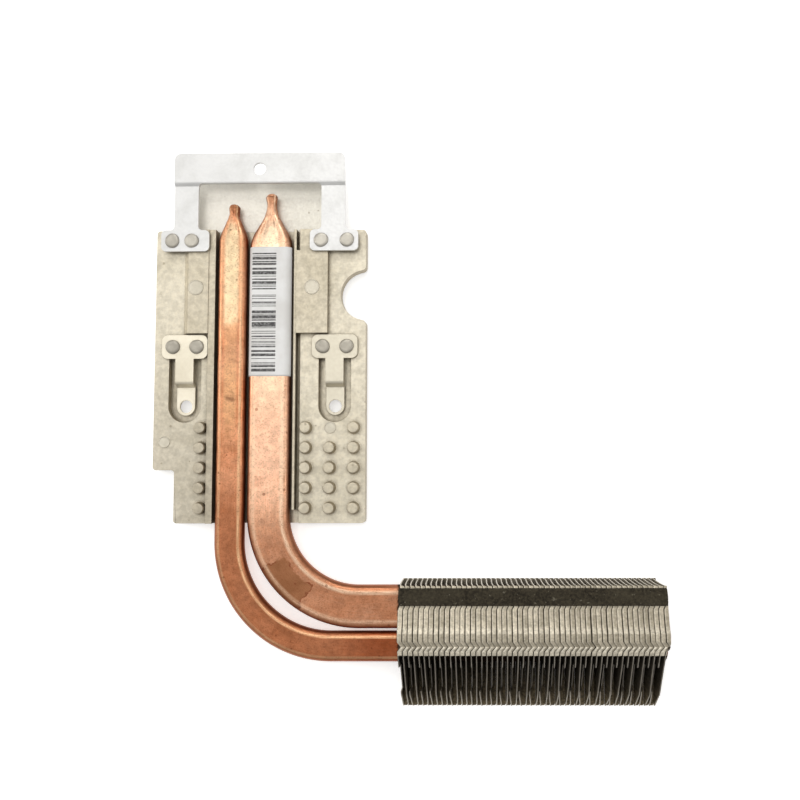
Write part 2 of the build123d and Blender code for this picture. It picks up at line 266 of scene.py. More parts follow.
def makeSurfaceMarks():
    group = bpy.data.node_groups.new("surfaceMarks", "ShaderNodeTree")
    for mark, value in markInputs.items():
        socket = group.interface.new_socket(name=mark, in_out="INPUT", socket_type="NodeSocketFloat")
        socket.default_value = value
    for mark in ("blotch", "grain", "specks", "lines"):
        group.interface.new_socket(name=mark, in_out="OUTPUT", socket_type="NodeSocketFloat")
    given = group.nodes.new("NodeGroupInput").outputs
    result = group.nodes.new("NodeGroupOutput").inputs
    place = coordinate(group)
    for mark in ("blotch", "grain"):
        made = noise(place, scale=given[mark + "Scale"], **markLook[mark])
        group.links.new(made, result[mark])
    cells = add(group, "TexVoronoi", {"Vector": place, "Scale": given["speckScale"]})
    near = calc("LESS_THAN", cells.outputs["Distance"], given["speckSize"])
    chance = add(group, "SeparateColor", {0: cells.outputs["Color"]}).outputs[0]
    some = calc("GREATER_THAN", chance, markLook["speckChance"])
    group.links.new(times(near, some), result["specks"])
    drawn = stretched(place, markLook["lineStretch"], markLook["lineTurn"])
    lines = patches(drawn, scale=given["lineScale"], **markLook["line"])
    group.links.new(lines, result["lines"])
    return group


surfaceMarks = makeSurfaceMarks()

# Casting: yellowish grey with stains, and paler on the tongue. Painted shade darkens its walls, its corners,
# its lower left and the tongue's right.
castingLook = dict(
    light=(0.75, 0.692, 0.565, 1), dark=(0.645, 0.59, 0.467, 1), stainAndShade=(0.33, 0.275, 0.19, 1),
    marks=dict(blotchScale=90, grainScale=1900, speckScale=420, speckSize=0.13), tone=(0.3, 0.62),
    blockFrom=4.3, blockTone=(0.88, 0.865, 0.84, 1),
    mottle=dict(scale=700, detail=4, rough=0.65, ends=(0.3, 0.7, 0.87, 1.11)), lowY=(-34, 2),
    lowX=(-12, 2), lowAmount=0.9, lowLeftShade=(0.86, 0.855, 0.86, 1), wall=(0.25, 0.95, 0.7, 0),
    tongueFrom=24.3, tongueX=(-8, 12), tongueAmount=0.75, tongueLeft=(0.89, 0.865, 0.81, 1),
    tongueShadedRight=(0.79, 0.77, 0.71, 1),
    stains=dict(scale=260, detail=6, rough=0.7, distortion=1, ends=(0.62, 0.74)), stainAmount=0.45,
    speckAmount=0.5, shadeAndGrime=dict(distance=1.3, ends=(0.35, 0.92, 0.85, 0), tint=(0.15, 0.12, 0.08, 1)),
    rough=(0.3, 0.7, 0.46, 0.62), relief=(0.35, 0.08))


def makeCastingMaterial():
    look = castingLook
    material, tree, shader = newMaterial("castAluminium", metallic=0.85, roughness=0.5)
    marks = useGroup(tree, surfaceMarks, **look["marks"])
    place = coordinate(tree)
    axes = axesOf(place)
    colour = blend(span(marks["blotch"], *look["tone"]), look["dark"], look["light"])
    raised = calc("GREATER_THAN", axes[2], look["blockFrom"] * mm)
    colour = blend(raised, colour, look["blockTone"], "MULTIPLY")
    colour = mottled(colour, **look["mottle"])
    # Painted shade: the lower left of the casting is darker
    low = stepAt(axes[1], look["lowY"], look["lowAmount"], 0.0)
    lowLeft = times(low, stepAt(axes[0], look["lowX"], 1.0, 0.0))
    colour = blend(lowLeft, colour, look["lowLeftShade"], "MULTIPLY")
    # Painted shade: upright faces, the walls of blocks, pockets and pins, take the stain colour
    upright = axesOf(add(tree, "NewGeometry").outputs["True Normal"])[2]
    wall = span(calc("ABSOLUTE", upright), *look["wall"])
    colour = blend(wall, colour, look["stainAndShade"])
    onTongue = calc("GREATER_THAN", axes[1], look["tongueFrom"] * mm)
    # Painted shade: the tongue is darker towards its right
    tongue = blend(stepAt(axes[0], look["tongueX"]), look["tongueLeft"], look["tongueShadedRight"])
    colour = stained(colour, onTongue, look["tongueAmount"], tongue)
    colour = stained(colour, patches(place, **look["stains"]), look["stainAmount"], look["stainAndShade"])
    colour = stained(colour, marks["specks"], look["speckAmount"], look["stainAndShade"])
    # Painted shade and grime in corners and recesses
    colour = cornerShadeAndGrime(colour, **look["shadeAndGrime"])
    dress(shader, colour, span(marks["grain"], *look["rough"]), marks["grain"], look["relief"])
    return material


# Sheet steel, for bracket, arms, rivets and marks, with painted shade and grime in corners
steelLook = dict(
    marks=dict(blotchScale=140, grainScale=1500, speckScale=380, speckSize=0.09, lineScale=220),
    tone=(0.3, 0.62), lineAmount=0.25, speckAmount=0.35, speck=(0.3, 0.27, 0.23, 1),
    shadeAndGrime=dict(distance=0.9, ends=(0.35, 0.9, 0.75, 0), tint=(0.17, 0.15, 0.12, 1)), grain=(0.3, 0.7),
    relief=(0.12, 0.05))
# Light tone, dark tone, and roughness from smooth to coarse. The two arms are one steel, painted lit on
# the left arm and painted in shade on the right arm.
steelTones = {
    "bracketSteel": ((0.76, 0.76, 0.755, 1), (0.69, 0.69, 0.68, 1), (0.44, 0.56)),
    "litLeftArmSteel": ((0.88, 0.82, 0.68, 1), (0.76, 0.7, 0.565, 1), (0.44, 0.56)),
    "shadedRightArmSteel": ((0.73, 0.68, 0.56, 1), (0.63, 0.585, 0.48, 1), (0.44, 0.56)),
    "armRivetMetal": ((0.45, 0.42, 0.36, 1), (0.3, 0.28, 0.235, 1), (0.4, 0.52)),
    "bracketRivetMetal": ((0.57, 0.54, 0.475, 1), (0.41, 0.385, 0.335, 1), (0.4, 0.52)),
    "markMetal": ((0.7, 0.655, 0.55, 1), (0.6, 0.555, 0.455, 1), (0.46, 0.58)),
}


def makeSteelMaterial(name, light, dark, roughEnds):
    look = steelLook
    material, tree, shader = newMaterial(name, metallic=0.9, roughness=0.36)
    marks = useGroup(tree, surfaceMarks, **look["marks"])
    colour = blend(span(marks["blotch"], *look["tone"]), dark, light)
    colour = stained(colour, marks["lines"], look["lineAmount"], dark)
    colour = stained(colour, marks["specks"], look["speckAmount"], look["speck"])
    # Painted shade and grime in corners and recesses
    colour = cornerShadeAndGrime(colour, **look["shadeAndGrime"])
    rough = span(marks["grain"], *look["grain"], *roughEnds)
    dress(shader, colour, rough, marks["grain"], look["relief"])
    return material


# Copper. Tarnish, painted highlights and painted shade follow the pipe's length in millimetres and width from
# -1 to 1, kept as attributes.
copperLook = dict(
    marks=dict(blotchScale=110, grainScale=2600), stretch=(0.9, 34, 1),
    streak=dict(scale=2.6, detail=5, rough=0.65), streakShare=0.7, tone=(0.62, 1.05), waver=16,
    zoneStreak=0.25, zoneSoft=0.3,
    mottle=dict(scale=520, detail=6, rough=0.72, ends=(0.32, 0.68, 0.84, 1.18)), side=(0.74, 1),
    sideAmount=0.78, sheenRise=(0.52, 0.64), sheenFall=(0.68, 0.8), sheenSides=(-0.5, 0.5, 0.55, 0.95),
    sheenStreak=(0.35, 0.6, 1, 0.4), grain=(0.52, 0.68), grainAmount=0.36, lines=(0.6, 0.72),
    speckAmount=0.6, torn=dict(scale=900, detail=4), tornBy=2, stackShadeRise=(0.7, 1.5), stackShadeFall=0.6,
    stackShadeAmount=0.96, stackShade=(0.03, 0.019, 0.013, 1), rough=(0.3, 0.7, 0.3, 0.46), dullRough=0.2,
    stackShadeRough=0.3, streakHeight=1.5, relief=(0.3, 0.08))
# Zones give from, to, softness, half width, tint and amount; some are painted highlights. The pale tone
# is the tint of the painted highlight along the shoulders. Painted shade lies on the pipe between the fins.
narrowLook = dict(
    paleTone=(0.95, 0.6, 0.34, 1), bright=(0.74, 0.36, 0.2, 1), mid=(0.48, 0.175, 0.078, 1),
    edge=(0.19, 0.055, 0.023, 1), streaks=0.6,
    zones=[
        # Painted highlight: a pale glare on the middle of the flat, just past the flare
        (8, 29, 4, 0.46, (0.78, 0.64, 0.41, 1), 0.85),
        (30, 55, 8, 0.4, (0.72, 0.43, 0.22, 1), 0.65),
        (-9, 3.2, 2, 1.2, (0.34, 0.14, 0.065, 1), 0.75),
        (72, 128, 10, 1.2, (0.39, 0.135, 0.058, 1), 0.78),
        (126, 250, 8, 1.2, (0.275, 0.062, 0.019, 1), 0.85),
        (33, 42, 4, 0.7, (0.38, 0.17, 0.11, 1), 0.35),
        (46, 48, 1.2, 0.3, (0.13, 0.05, 0.03, 1), 0.7)],
    patch=None, stackShade=(138.7, 202.6), pits=dict(speckScale=560, speckSize=0.14))
wideLook = dict(
    paleTone=(0.97, 0.71, 0.5, 1), bright=(0.95, 0.62, 0.42, 1), mid=(0.77, 0.385, 0.22, 1),
    edge=(0.25, 0.08, 0.038, 1), streaks=0.25,
    zones=[
        (38, 76, 9, 0.6, (0.95, 0.55, 0.38, 1), 0.5),
        (42, 54, 5, 0.5, (0.92, 0.72, 0.5, 1), 0.5),
        (80, 250, 8, 1.2, (0.44, 0.17, 0.08, 1), 0.78),
        (-9, 3.4, 2, 1.2, (0.42, 0.18, 0.09, 1), 0.65),
        # Painted highlight: pale middle of the flare
        (6, 16, 2.5, 0.45, (0.93, 0.76, 0.55, 1), 0.7)],
    patch=dict(
        start=90.5, end=101, soft=0.5, inner=0.25, innerSoft=0.12, tint=(0.3, 0.125, 0.052, 1),
        dull=(0.3, 0.7, 0.5, 0.85), ragged=dict(scale=700, detail=4), raggedLength=2.4, raggedBreadth=0.5,
        border=dict(scale=330, detail=2, ends=(0.42, 0.52)), borderAmount=4.5),
    stackShade=(123.6, 187.5), pits=dict(speckScale=400, speckSize=0.15))


# What a strip of tape left: a dull face with a ragged, darker border
def tapePatch(colour, patch, edge, along, sideways, blotch):
    place = coordinate(colour.id_data)
    ragged = minus(noise(place, **patch["ragged"]), 0.5)
    length = plus(along, times(ragged, patch["raggedLength"]))
    breadth = plus(sideways, times(ragged, patch["raggedBreadth"]))
    low, high, inner = patch["start"], patch["end"], patch["inner"]
    inside = between(length, (low, low + patch["soft"]), (high, high + patch["soft"]))
    inside = times(inside, span(breadth, inner, inner + patch["innerSoft"], 1.0, 0.0))
    dull = times(inside, span(blotch, *patch["dull"]))
    colour = blend(dull, colour, patch["tint"])
    border = times(inside, minus(1.0, inside))
    some = times(patches(place, **patch["border"]), patch["borderAmount"])
    return blend(times(border, some, clamp=True), colour, edge), dull


def makeCopperMaterial(name, own):
    look = copperLook
    material, tree, shader = newMaterial(name, metallic=1.0, roughness=0.3)
    marks = useGroup(tree, surfaceMarks, **look["marks"], **own["pits"])
    along = stored(tree, "along")
    sideways = stored(tree, "across")
    across = calc("ABSOLUTE", sideways)
    streak = noise(stretched(coordinate(tree, "UV"), look["stretch"]), **look["streak"])
    tone = plus(marks["blotch"], times(streak, look["streakShare"]))
    colour = blend(span(tone, *look["tone"]), own["mid"], own["bright"])
    length = plus(along, times(minus(marks["blotch"], 0.5), look["waver"]))
    breadth = plus(across, times(streak, look["zoneStreak"]))
    for low, high, soft, half, tint, amount in own["zones"]:
        zone = between(length, (low - soft, low + soft), (high - soft, high + soft))
        middle = span(breadth, half, half + look["zoneSoft"], 1.0, 0.0)
        colour = stained(colour, zone, times(middle, amount), tint)
    colour = mottled(colour, **look["mottle"])
    rough = span(marks["blotch"], *look["rough"])
    if own["patch"]:
        colour, dull = tapePatch(colour, own["patch"], own["edge"], along, sideways, marks["blotch"])
        rough = plus(rough, times(dull, look["dullRough"]))
    colour = stained(colour, span(across, *look["side"]), look["sideAmount"], own["edge"])
    # Painted highlight along the shoulders, stronger on one side and streaked, in the pale tone
    shoulderSheen = between(across, look["sheenRise"], look["sheenFall"])
    shoulderSheen = times(shoulderSheen, span(sideways, *look["sheenSides"]))
    colour = stained(colour, shoulderSheen, span(streak, *look["sheenStreak"]), own["paleTone"])
    colour = stained(colour, span(marks["grain"], *look["grain"]), look["grainAmount"], own["edge"])
    colour = stained(colour, span(streak, *look["lines"]), own["streaks"], own["edge"])
    colour = stained(colour, marks["specks"], look["speckAmount"], own["edge"])
    # Painted shade on the pipe where it runs between the fins, with a ragged start
    torn = plus(along, times(noise(coordinate(tree), **look["torn"]), look["tornBy"]))
    start, end = own["stackShade"]
    inStackShade = span(torn, start + look["stackShadeRise"][0], start + look["stackShadeRise"][1])
    inStackShade = times(inStackShade, span(along, end, end + look["stackShadeFall"], 1.0, 0.0))
    colour = stained(colour, inStackShade, look["stackShadeAmount"], look["stackShade"])
    rough = plus(rough, times(inStackShade, look["stackShadeRough"]))
    height = plus(marks["grain"], times(streak, look["streakHeight"]))
    dress(shader, colour, rough, height, look["relief"])
    return material


# Fins: rolled sheet with painted highlights along its folds, and painted shade with some dust on the web,
# which turns brown in upright streaks at the outlet's foot. Shade and dust, highlights and own tone are
# attributes.
finLook = dict(
    light=(0.57, 0.512, 0.405, 1), dark=(0.37, 0.328, 0.25, 1), paleTone=(0.9, 0.84, 0.71, 1),
    stackShade=(0.058, 0.049, 0.036, 1), brown=(0.31, 0.245, 0.148, 1), speck=(0.2, 0.17, 0.13, 1),
    marks=dict(blotchScale=260, grainScale=2200, speckScale=700, speckSize=0.12), blotchShare=1.2,
    toneShare=0.5, tone=(0.45, 1.25), highlightGrain=(0.3, 0.6, 0.55, 1),
    mottle=dict(scale=1500, detail=3, rough=0.7, ends=(0.3, 0.7, 0.78, 1.2)), speckAmount=0.5,
    footZ=(0.5, 9), outletY=(-91, -80), stretch=(1, 1, 0.06),
    streak=dict(scale=1500, detail=3, rough=0.6, ends=(0.35, 0.7, 0.3, 1)), insideY=(-68, -61.9),
    insideShade=(1, 0.4), shadeAndDustGrain=(0.2, 0.6, 0.88, 1), rough=(0.3, 0.7, 0.44, 0.58), shadeAndDustRough=0.3,
    metal=0.9, shadeAndDustMetal=1.1, relief=(0.3, 0.08))


def makeFinMaterial(name, inside):
    look = finLook
    material, tree, shader = newMaterial(name, metallic=look["metal"], roughness=0.34, specular=0.12)
    marks = useGroup(tree, surfaceMarks, **look["marks"])
    place = coordinate(tree)
    axes = axesOf(place)
    ownTone = times(stored(tree, "tone"), look["toneShare"])
    tone = plus(times(marks["blotch"], look["blotchShare"]), ownTone)
    colour = blend(span(tone, *look["tone"]), look["dark"], look["light"])
    # Painted highlights along the folds, the locks and the lips
    highlight = span(marks["grain"], *look["highlightGrain"])
    colour = stained(colour, stored(tree, "highlight"), highlight, look["paleTone"])
    colour = mottled(colour, **look["mottle"])
    colour = stained(colour, marks["specks"], look["speckAmount"], look["speck"])
    # Painted shade with some dust: near black in the stack, brown in upright streaks at the outlet's foot;
    # inner faces take it by place, more of it away from the fan side
    foot = stepAt(axes[2], look["footZ"], 1.0, 0.0)
    outlet = stepAt(axes[1], look["outletY"], 1.0, 0.0)
    streak = patches(stretched(place, look["stretch"]), **look["streak"])
    brown = times(times(foot, outlet), streak)
    if inside:
        cover = stepAt(axes[1], look["insideY"], *look["insideShade"])
    else:
        cover = stored(tree, "shadeAndDust")
    shadeAndDust = times(cover, span(marks["grain"], *look["shadeAndDustGrain"]), clamp=True)
    colour = blend(shadeAndDust, colour, blend(brown, look["stackShade"], look["brown"]))
    rough = plus(span(marks["grain"], *look["rough"]), times(shadeAndDust, look["shadeAndDustRough"]))
    metal = minus(look["metal"], times(shadeAndDust, look["shadeAndDustMetal"]), clamp=True)
    tree.links.new(metal, shader.inputs["Metallic"])
    dress(shader, colour, rough, marks["grain"], look["relief"])
    return material


# Cut edges of the fins: dark at the outlet's top and paler at its foot, by an attribute
edgeLook = dict(
    dark=(0.075, 0.064, 0.052, 1), light=(0.66, 0.6, 0.5, 1), blotchScale=500, tone=(0.3, 0.7, 0.7, 1.15))


def makeFinEdgeMaterial():
    material, tree, shader = newMaterial("finEdge", metallic=0.6, roughness=0.5, specular=0.3)
    marks = useGroup(tree, surfaceMarks, blotchScale=edgeLook["blotchScale"])
    tone = span(marks["blotch"], *edgeLook["tone"])
    pale = times(stored(tree, "edge"), tone, clamp=True)
    dress(shader, blend(pale, edgeLook["dark"], edgeLook["light"]))
    return material


# Foam: nearly black pores, worn paler in places, with lint
foamLook = dict(
    pore=dict(scale=1700, detail=4, rough=0.7), poreEnds=(0.35, 0.7), relief=(0.6, 0.15),
    deep=(0.014, 0.011, 0.007, 1), skin=(0.055, 0.045, 0.028, 1),
    paleTone=dict(scale=210, detail=4, rough=0.6, ends=(0.35, 0.7)),
    lint=dict(scale=1150, detail=2, rough=0.5, ends=(0.66, 0.74)), paleToneTint=(0.07, 0.059, 0.038, 1),
    lintTint=(0.22, 0.2, 0.15, 1), amount=0.45)


def makeFoamMaterial():
    look = foamLook
    material, tree, shader = newMaterial("gasketFoam", metallic=0.0, roughness=0.95, specular=0.25)
    place = coordinate(tree)
    pore = noise(place, **look["pore"])
    colour = blend(span(pore, *look["poreEnds"]), look["deep"], look["skin"])
    for mark in ("paleTone", "lint"):
        colour = stained(colour, patches(place, **look[mark]), look["amount"], look[mark + "Tint"])
    dress(shader, colour, height=pore, relief=look["relief"])
    return material


# Label: paper with generic bars of random widths, no real code
labelLook = dict(
    left=0.13, right=0.64, low=0.035, high=0.955, modules=190, bare=0.44, paper=(0.76, 0.75, 0.73, 1),
    palePaper=(0.86, 0.86, 0.855, 1), ink=(0.035, 0.033, 0.034, 1),
    fibre=dict(scale=160, detail=4, ends=(0.35, 0.7)),
    wornInk=dict(scale=2400, detail=3, ends=(0.3, 0.6, 0.72, 0.97)))


def makeLabelMaterial():
    look = labelLook
    material, tree, shader = newMaterial("labelPaper", metallic=0.0, roughness=0.55)
    uv = axesOf(coordinate(tree, "UV"))
    module = calc("FLOOR", times(uv[1], look["modules"]))
    chance = add(tree, "TexWhiteNoise", {"W": module}, noise_dimensions="1D").outputs[0]
    bar = calc("GREATER_THAN", chance, look["bare"])
    for axis, low, high in ((0, "left", "right"), (1, "low", "high")):
        bar = times(bar, calc("GREATER_THAN", uv[axis], look[low]))
        bar = times(bar, calc("LESS_THAN", uv[axis], look[high]))
    place = coordinate(tree)
    paper = blend(patches(place, **look["fibre"]), look["paper"], look["palePaper"])
    dress(shader, stained(paper, bar, patches(place, **look["wornInk"]), look["ink"]))
    return material


castAluminium = makeCastingMaterial()
steel = {name: makeSteelMaterial(name, *tones) for name, tones in steelTones.items()}
narrowCopper = makeCopperMaterial("narrowCopper", narrowLook)
wideCopper = makeCopperMaterial("wideCopper", wideLook)
finAluminium = makeFinMaterial("finAluminium", False)
finInside = makeFinMaterial("finInside", True)
finEdge = makeFinEdgeMaterial()
gasketFoam = makeFoamMaterial()
labelPaper = makeLabelMaterial()
print("stage: materials made")

# Posts of the casting, made anew as smooth rounds: places in plan, foot height and widest radius
pinGrid = dict(x=(-14.2, 11.6, 17.46, 23.32), y=-24.95, pitch=4.88, rows=5, without=(0, 2))
pinPlaces = [(x, pinGrid["y"] - pinGrid["pitch"] * row) for row in range(pinGrid["rows"])
             for column, x in enumerate(pinGrid["x"]) if (row, column) != pinGrid["without"]]
posts = {
    "castPins": (pinPlaces, 3.4, 1.6),
    "wingMarks": ([(17.46, -24.95), (-23.35, -28.35)], 3.4, 1.55),
    "blockMarks": ([(-15.8, 9.7), (12.9, 9.7)], 4.6, 2),
    "armRivets": ([(x, -4.95) for x in (-21.45, -15.55, 15.55, 21.45)], 3.4, 1.9),
    "bracketRivets": ([(x, 21.25) for x in (-21.6, -16.8, 15.2, 21.6)], 4.6, 1.9),
}
# Rounded edges of pieces that keep their CAD form, in degrees and millimetres
softSizes = dict(postClear=0.01, flatAngle=1, edgeAngle=25, segments=3, weight=100)


# A copy of a CAD node with its flat faces whole and its edges rounded. Posts are cut off.
def softenedCopy(node, name, width, withoutPosts):
    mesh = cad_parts[node].data.copy()
    mesh.name = name
    work = bmesh.new()
    work.from_mesh(mesh)
    bmesh.ops.remove_doubles(work, verts=work.verts, dist=sheetGap)
    if withoutPosts:
        centres = np.array([face.calc_center_median()[:] for face in work.faces]) / mm
        gone = np.zeros(len(centres), bool)
        for places, foot, reach in posts.values():
            gap = np.linalg.norm(centres[:, None, :2] - np.array(places)[None], axis=2).min(axis=1)
            gone |= (gap < reach) & (centres[:, 2] > foot + softSizes["postClear"])
        work.faces.ensure_lookup_table()
        bmesh.ops.delete(work, geom=[work.faces[i] for i in np.nonzero(gone)[0]], context="FACES")
        bmesh.ops.holes_fill(work, edges=[edge for edge in work.edges if edge.is_boundary], sides=0)
        loose = [vert for vert in work.verts if not vert.link_faces]
        bmesh.ops.delete(work, geom=loose, context="VERTS")
    flat = math.radians(softSizes["flatAngle"])
    bmesh.ops.dissolve_limit(work, angle_limit=flat, verts=work.verts, edges=work.edges)
    bmesh.ops.recalc_face_normals(work, faces=work.faces)
    work.to_mesh(mesh)
    work.free()
    mesh.shade_smooth()
    piece = newObject(name, mesh)
    bevel = piece.modifiers.new("roundedEdges", "BEVEL")
    bevel.width = width * mm
    bevel.segments = softSizes["segments"]
    bevel.limit_method = "ANGLE"
    bevel.angle_limit = math.radians(softSizes["edgeAngle"])
    even = piece.modifiers.new("evenShading", "WEIGHTED_NORMAL")
    even.weight = softSizes["weight"]
    return piece


# Node, finish, slot and edge width
softPieces = {
    "baseCasting": ("base_casting", castAluminium, "cast_aluminium", 0.16),
    "mountingBracket": ("mounting_bracket", steel["bracketSteel"], "bracket_steel", 0.12),
    "leftSpringArm": ("left_spring_arm", steel["litLeftArmSteel"], "spring_steel", 0.1),
    "rightSpringArm": ("right_spring_arm", steel["shadedRightArmSteel"], "spring_steel", 0.1),
}
for name, (node, material, slot, width) in softPieces.items():
    settle(softenedCopy(node, name, width, node == "base_casting"), material, [node])
print("stage: casting and sheet pieces")


# Rounds about upright axes: a profile of radius and height, carried round at each place with a wobble
def turned(name, places, profile, wobble, turns=40):
    profile = np.array(profile)
    angle = np.linspace(0, 2 * np.pi, turns, endpoint=False)
    rows, faces = [], []
    for x, y in places:
        ripple = np.sin(angle * 2 + draw.uniform(0, 6)) + 0.6 * np.sin(angle * 3 + draw.uniform(0, 6))
        radius = profile[:, :1] * (1 + wobble * ripple)
        grid = gridPoints(x + radius * np.cos(angle), y + radius * np.sin(angle), profile[:, 1:])
        faces.append(gridQuads(len(profile), turns, True) + len(rows) * len(profile) * turns)
        rows.append(grid.reshape(-1, 3))
    return meshObject(name, np.concatenate(rows), np.concatenate(faces))


# A peened rivet head: a low dome with a pressed flat
def rivetProfile(sheetTop):
    dome = [(1.62, -0.2), (1.72, 0.03), (1.75, 0.1), (1.72, 0.2), (1.58, 0.33), (1.36, 0.42), (1.1, 0.445),
            (0.82, 0.43), (0.5, 0.4), (0, 0.395)]
    return [(0, sheetTop - 0.6)] + [(radius, sheetTop + rise) for radius, rise in dome]


pinProfile = [(0, 3.3), (1.78, 3.3), (1.78, 3.395), (1.66, 3.42), (1.55, 3.49), (1.475, 3.62), (1.42, 4),
              (1.36, 4.6), (1.31, 5.1), (1.3, 5.28), (1.27, 5.345), (1.21, 5.385), (1.12, 5.4), (0.6, 5.395),
              (0, 5.395)]
wingMarkProfile = [(0, 3.3), (1.42, 3.3), (1.42, 3.46), (1.4, 3.5), (1.35, 3.52), (1.28, 3.52), (1.24, 3.5),
                   (1.21, 3.45), (1.16, 3.44), (0.6, 3.47), (0, 3.47)]
blockMarkProfile = [(0, 4.5), (1.86, 4.5), (1.86, 4.66), (1.84, 4.7), (1.79, 4.72), (1.72, 4.72), (1.67, 4.7),
                    (1.64, 4.65), (1.58, 4.64), (0.8, 4.67), (0, 4.67)]
# Profile, wobble and finish of the posts
rounds = {
    "castPins": (pinProfile, 0.012, castAluminium),
    "wingMarks": (wingMarkProfile, 0, steel["markMetal"]),
    "blockMarks": (blockMarkProfile, 0, steel["markMetal"]),
    "armRivets": (rivetProfile(4), 0.02, steel["armRivetMetal"]),
    "bracketRivets": (rivetProfile(5.3), 0.02, steel["bracketRivetMetal"]),
}
for name, (profile, wobble, material) in rounds.items():
    settle(turned(name, posts[name][0], profile, wobble), material)
print("stage: pins, marks and rivets")

# Heat pipes: a flattened section carried down the base, round the bend and through the fins
pipeFacts = dict(
    narrowHeatPipe=dict(
        node="narrow_heat_pipe", width=7.3, x=-6.8, bend=25, stackY=-77.5, flareFrom=20.9, flare=7.8,
        tip=30.8, material=narrowCopper),
    wideHeatPipe=dict(
        node="wide_heat_pipe", width=10.4, x=2.6, bend=22.3, stackY=-68.1, flareFrom=19.9, flare=9.9,
        tip=33.4, material=wideCopper))
pipe = dict(
    thick=3.4, z=3.5, nozzleWidth=2.7, nozzleThick=2.4, tipRound=1, endRound=1.2, farX=98.88, dish=0.06,
    bendDish=1.4, flatShare=0.8, uneven=0.012, crinkle=0.05, crease=0.28, creaseAt=0.42, creaseWide=0.16,
    flatPoints=24, roundPoints=20)
pipeSteps = dict(end=9, flare=50, straight=60, bend=90, run=60)
# Sealed nozzle: amount, place and length of its pinched neck and its swollen tip
nozzle = ((0.1, 2.6, 0.9), (0.05, 1, 0.6))


# Section: share of the flat's half width and angle round the end, from the bottom's middle
def pipeSection():
    flat, side = pipe["flatPoints"], pipe["roundPoints"]
    half = np.linspace(0, 1, flat // 2, endpoint=False)
    top = np.linspace(1, -1, flat, endpoint=False)
    sideAngle = np.linspace(-np.pi / 2, np.pi / 2, side, endpoint=False)
    shift = np.concatenate([half, np.ones(side), top, -np.ones(side), half - 1])
    angle = np.concatenate([np.full(flat // 2, -np.pi / 2), sideAngle, np.full(flat, np.pi / 2),
                            sideAngle + np.pi, np.full(flat // 2, 1.5 * np.pi)])
    return shift, angle


def pipeSurface(name, facts):
    bend, tipRound, endRound = facts["bend"], pipe["tipRound"], pipe["endRound"]
    straight = facts["tip"] - (facts["stackY"] + bend)
    arc = bend * np.pi / 2
    total = straight + arc + (pipe["farX"] - facts["x"] - bend)
    flareEnd = facts["tip"] - facts["flareFrom"]
    along = np.unique(np.concatenate([
        tipRound * (1 - np.cos(np.linspace(0, np.pi / 2, pipeSteps["end"]))),
        np.linspace(tipRound, flareEnd + 1, pipeSteps["flare"]),
        np.linspace(flareEnd + 1, straight, pipeSteps["straight"]),
        np.linspace(straight, straight + arc, pipeSteps["bend"]),
        np.linspace(straight + arc, total - endRound, pipeSteps["run"]),
        total - endRound * (1 - np.cos(np.linspace(np.pi / 2, 0, pipeSteps["end"])))]))[:, None]
    # Path: down the base, a quarter circle, then along the stack
    turn = np.clip((along - straight) / bend, 0, np.pi / 2)
    past = np.clip(along - straight - arc, 0, None)
    x = facts["x"] + bend * (1 - np.cos(turn)) + past
    y = facts["tip"] - np.minimum(along, straight) - bend * np.sin(turn)
    # Width and thickness: half a cosine from the nozzle to the flattened tube, and round ends
    flare = 0.5 - 0.5 * np.cos(np.pi * np.clip((along - (flareEnd - facts["flare"])) / facts["flare"], 0, 1))
    wide = pipe["nozzleWidth"] + (facts["width"] - pipe["nozzleWidth"]) * flare
    thick = pipe["nozzleThick"] + (pipe["thick"] - pipe["nozzleThick"]) * flare
    close = roundedEnd(along, tipRound) * roundedEnd(total - along, endRound)
    pinch, swell = (amount * np.exp(-((along - at) / length) ** 2) for amount, at, length in nozzle)
    neck = 1 - pinch + swell
    halfWide = wide / 2 * close * neck
    halfThick = thick / 2 * close * neck
    shift, angle = pipeSection()
    sideways, upwards = np.cos(angle), np.sin(angle)
    across = shift * (halfWide - halfThick) + halfThick * sideways
    up = halfThick * upwards
    ratio = across / np.maximum(halfWide, 0.01)
    # Pressed faces are hollow, more so in the bend, and uneven; the flare has two creases
    onFlat = upwards * (1 - np.clip(np.abs(ratio) / pipe["flatShare"], 0, 1) ** 2)
    uneven = softNoise(len(along), len(shift), 6, 5) * pipe["uneven"] * flare
    hollow = pipe["dish"] * flare * close * (1 + pipe["bendDish"] * np.sin(2 * turn))
    up = up - onFlat * hollow + upwards * uneven
    crinkle = softNoise(len(along), len(shift), 1.6, 3.2) * pipe["crinkle"] * ((1 - flare) * close)
    across = across + crinkle * sideways
    up = up + crinkle * upwards
    crease = np.exp(-((np.abs(ratio) - pipe["creaseAt"]) / pipe["creaseWide"]) ** 2)
    up = up - pipe["crease"] * (np.sin(np.pi * flare) * crease * np.clip(upwards, 0, 1))
    points = gridPoints(x + across * np.cos(turn), y + across * np.sin(turn), pipe["z"] + up)
    pipeMap = cornerMap(along / 10, np.linspace(0, 1, len(shift) + 1)[None])
    values = {"along": along, "across": np.clip(ratio, -1, 1)}
    piece = meshObject(name, points, gridQuads(len(along), len(shift), True), pipeMap, values)
    settle(piece, facts["material"], [facts["node"]])


for name, facts in pipeFacts.items():
    pipeSurface(name, facts)
print("stage: heat pipes")

# Label: a thin sheet over the wide pipe's top and the start of its sides
label = dict(
    top=19.6, bottom=-12.4, x=2.6, flat=3.5, round=1.7, wrap=1.35, lift=0.02, thick=0.07, rows=60, cols=49,
    uneven=0.008, blur=7)


